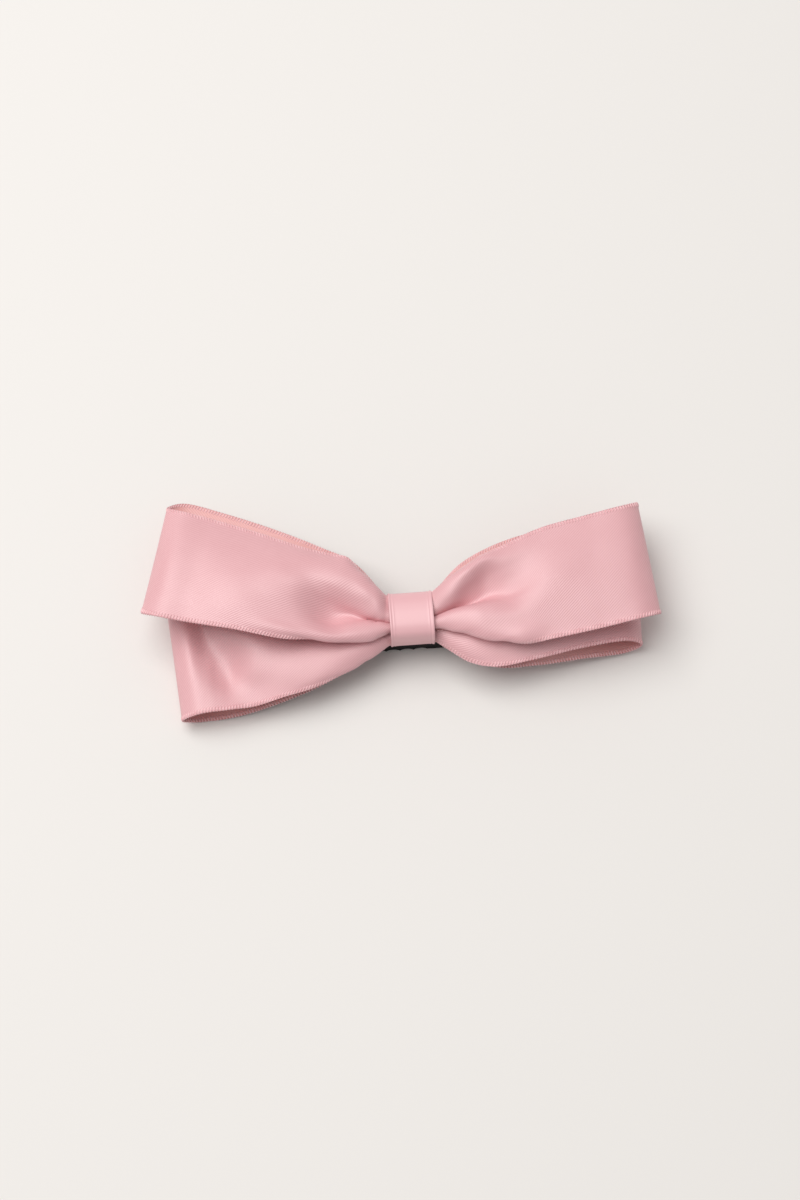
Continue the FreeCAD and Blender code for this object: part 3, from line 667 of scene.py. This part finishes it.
# ------------------------------------------------------------- the knot wrap
WRAP_OUTLINE = [(-2.0, 6.12), (-4.3, 6.15), (-5.4, 6.9), (-5.7, 8.6), (-5.65, 10.6), (-5.0, 12.3),
                (-3.6, 13.15), (-1.6, 13.45), (0.4, 13.4), (2.4, 12.95), (4.0, 11.9), (4.9, 10.3),
                (5.1, 8.4), (4.8, 6.9), (3.8, 6.15), (1.5, 6.12), (-2.0, 6.12), (-4.3, 6.15)]


def rib(from_edge, height, place, width):
    """Added thickness of one rib that runs along the wrap."""
    return height * np.exp(-((from_edge - place) / width) ** 2)


def knot_wrap():
    """The wrap: its first end steps inwards where its last end laps over it."""
    rows, cols = 150, 61
    plain_thick = 0.22
    lap_step, lap_fade = 0.27, 3.5
    line, length = even_curve([(0.0, y, z) for y, z in WRAP_OUTLINE], rows)
    half = WRAP_DRAWN / 2
    x = np.linspace(-half, half, cols)
    grid = np.repeat(line[:, None], cols, axis=1)
    grid[..., 0] = x
    normal = grid_normals(grid)
    tucked = 1 - ease(np.linspace(0, 1, rows) * length / lap_fade - 0.5)
    grid -= normal * (lap_step * tucked)[:, None, None]
    from_edge = half - np.abs(x)
    edge_rib = rib(from_edge, height=0.36, place=0.25, width=0.20)
    inner_rib = rib(from_edge, height=0.16, place=0.9, width=0.11)
    thick = plain_thick + np.repeat((edge_rib + inner_rib)[None], rows, axis=0)
    piece = sheet_mesh("knot_wrap_ribbon", grid, thick, WRAP_WIDTH)
    finish_piece(piece, wrap_satin, "wrap_satin", "knot_wrap")


knot_wrap()


# ------------------------------------------- thread that draws each waist in
def tube(path, radius, around=8):
    """Closed-ended round tube along a line of points."""
    path = np.asarray(path, float)
    along = unit(np.gradient(path, axis=0))
    side = unit(np.cross(along, [0.31, 0.17, 0.94]))
    other = np.cross(along, side)
    turn = np.linspace(0, 2 * math.pi, around, endpoint=False)
    ring = (np.cos(turn)[None, :, None] * side[:, None] + np.sin(turn)[None, :, None] * other[:, None])
    verts = (path[:, None] + ring * radius).reshape(-1, 3)
    index = np.arange(len(verts)).reshape(len(path), around)
    index = np.concatenate([index, index[:, :1]], axis=1)
    faces = [tuple(int(i) for i in f) for f in quads(index)]
    faces.append(tuple(int(i) for i in index[0, :-1]))
    faces.append(tuple(int(i) for i in index[-1, :-1][::-1]))
    return verts, faces


def gather_thread(node, turns=3, radius=0.17):
    """Sewing thread wound round the pleats, a few turns side by side."""
    low, high = box_mm(node)
    middle = (low + high) / 2
    inset_y, inset_z = 0.7, 0.3
    half_y = (high[1] - low[1]) / 2 - inset_y
    half_z = (high[2] - low[2]) / 2 - inset_z
    steps = 48
    angle = np.linspace(0, 2 * math.pi * turns, steps * turns + 1)
    shape = 0.85                # under 1, which rounds the turns out towards a box
    y = half_y * np.sign(np.cos(angle)) * np.abs(np.cos(angle)) ** shape
    z = half_z * np.sign(np.sin(angle)) * np.abs(np.sin(angle)) ** shape
    x = np.linspace(low[0] + radius, high[0] - radius, len(angle))
    verts, faces = tube(np.stack([x, middle[1] + y, middle[2] + z], axis=1), radius)
    piece = mesh_object(node + "_turns", verts, faces)
    finish_piece(piece, sewing_thread, "thread", node)


gather_thread("front_gather_thread")
gather_thread("rear_gather_thread")


# ------------------------------------------------------- the torsion spring
def torsion_spring(wire=0.30, coil=1.5, turns=3):
    """Coil round the pin with a leg towards each lever.

    wire is the wire's radius.  The coil has half a turn more than turns says,
    one turn fewer than the CAD spring, and it meets each leg in a hairpin.
    """
    leg_points = 24
    leg_past_pin = 0.2
    low, high = box_mm("torsion_spring")
    pin = (PIN_LOW + PIN_HIGH) / 2
    start, side = high[1] - wire, pin[2] + coil
    angle = np.linspace(math.pi / 2, math.pi / 2 - math.pi * (2 * turns + 1), 40 * turns)
    y = np.linspace(-start, start, len(angle))
    coil_line = np.stack([pin[0] + coil * np.cos(angle), y, pin[2] + coil * np.sin(angle)], axis=1)
    leg_x = np.linspace(high[0] - wire, pin[0] + leg_past_pin, leg_points)
    flat_leg = np.ones(leg_points)
    upper_leg = np.stack([leg_x, flat_leg * -start, flat_leg * side], axis=1)
    lower_leg = np.stack([leg_x[::-1], flat_leg * start, flat_leg * (pin[2] - coil)], axis=1)
    verts, faces = tube(np.concatenate([upper_leg, coil_line, lower_leg]), wire, around=12)
    piece = mesh_object("torsion_spring_wire", verts, faces)
    piece.data.materials.append(wire_steel)
    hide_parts("torsion_spring")
    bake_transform(piece)


torsion_spring()

CAD_MATERIALS = {"upper_jaw": clip_enamel, "lower_jaw": clip_enamel, "pivot_pin": clip_enamel,
                 "glue_pad": milky_glue}
for node, material in CAD_MATERIALS.items():
    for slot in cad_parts[node].material_slots:
        slot.material = material

# ------------------------------------------------------------ floor and light
FLOOR = 3                   # metres from the middle to each edge
floor_corners = [(-FLOOR, -FLOOR, 0), (FLOOR, -FLOOR, 0), (FLOOR, FLOOR, 0), (-FLOOR, FLOOR, 0)]
floor_mesh = bpy.data.meshes.new("floor")
floor_mesh.from_pydata(floor_corners, [], [(0, 1, 2, 3)])
floor = bpy.data.objects.new("floor", floor_mesh)
bpy.context.scene.collection.objects.link(floor)
floor.data.materials.append(painted_floor())


def area_light(name, place, size, power, colour):
    light = bpy.data.lights.new(name, "AREA")
    light.shape = "RECTANGLE"
    light.size, light.size_y = size
    light.energy = power
    light.color = colour
    lamp = bpy.data.objects.new(name, light)
    bpy.context.scene.collection.objects.link(lamp)
    lamp.location = place
    lamp.rotation_mode = "QUATERNION"
    lamp.rotation_quaternion = mathutils.Vector(place).to_track_quat("Z", "Y")
    return lamp


area_light("window", place=(-0.42, 0.26, 1.12), size=(1.1, 1.1), power=14.3,
           colour=(1.0, 0.985, 0.965))

world = bpy.data.worlds.new("soft_room")
world.use_nodes = True
world.node_tree.nodes["Background"].inputs["Color"].default_value = (1.0, 0.985, 0.97, 1)
world.node_tree.nodes["Background"].inputs["Strength"].default_value = 0.41
bpy.context.scene.world = world
bpy.context.scene.view_settings.view_transform = "Standard"

# -------------------------------------------------------------------- camera
ELEVATION = math.radians(70)
AZIMUTH = math.radians(-4.4)
DISTANCE = 0.526
AIM_HEIGHT = 0.009
AIM_LEFT = 0.0023
AIM_UP = 0.0036
back = np.array([math.sin(AZIMUTH) * math.cos(ELEVATION),
                 -math.cos(AZIMUTH) * math.cos(ELEVATION), math.sin(ELEVATION)])
right = np.array([math.cos(AZIMUTH), math.sin(AZIMUTH), 0.0])
up = np.cross(back, right)
aim = np.array([0, 0, AIM_HEIGHT]) - right * AIM_LEFT + up * AIM_UP
camera = bpy.data.cameras.new("camera")
camera.lens = 75
camera.clip_start = 0.01
eye = bpy.data.objects.new("camera", camera)
bpy.context.scene.collection.objects.link(eye)
turn = mathutils.Matrix([[right[i], up[i], back[i]] for i in range(3)]).to_4x4()
eye.matrix_world = mathutils.Matrix.Translation(aim + back * DISTANCE) @ turn
bpy.context.scene.camera = eye
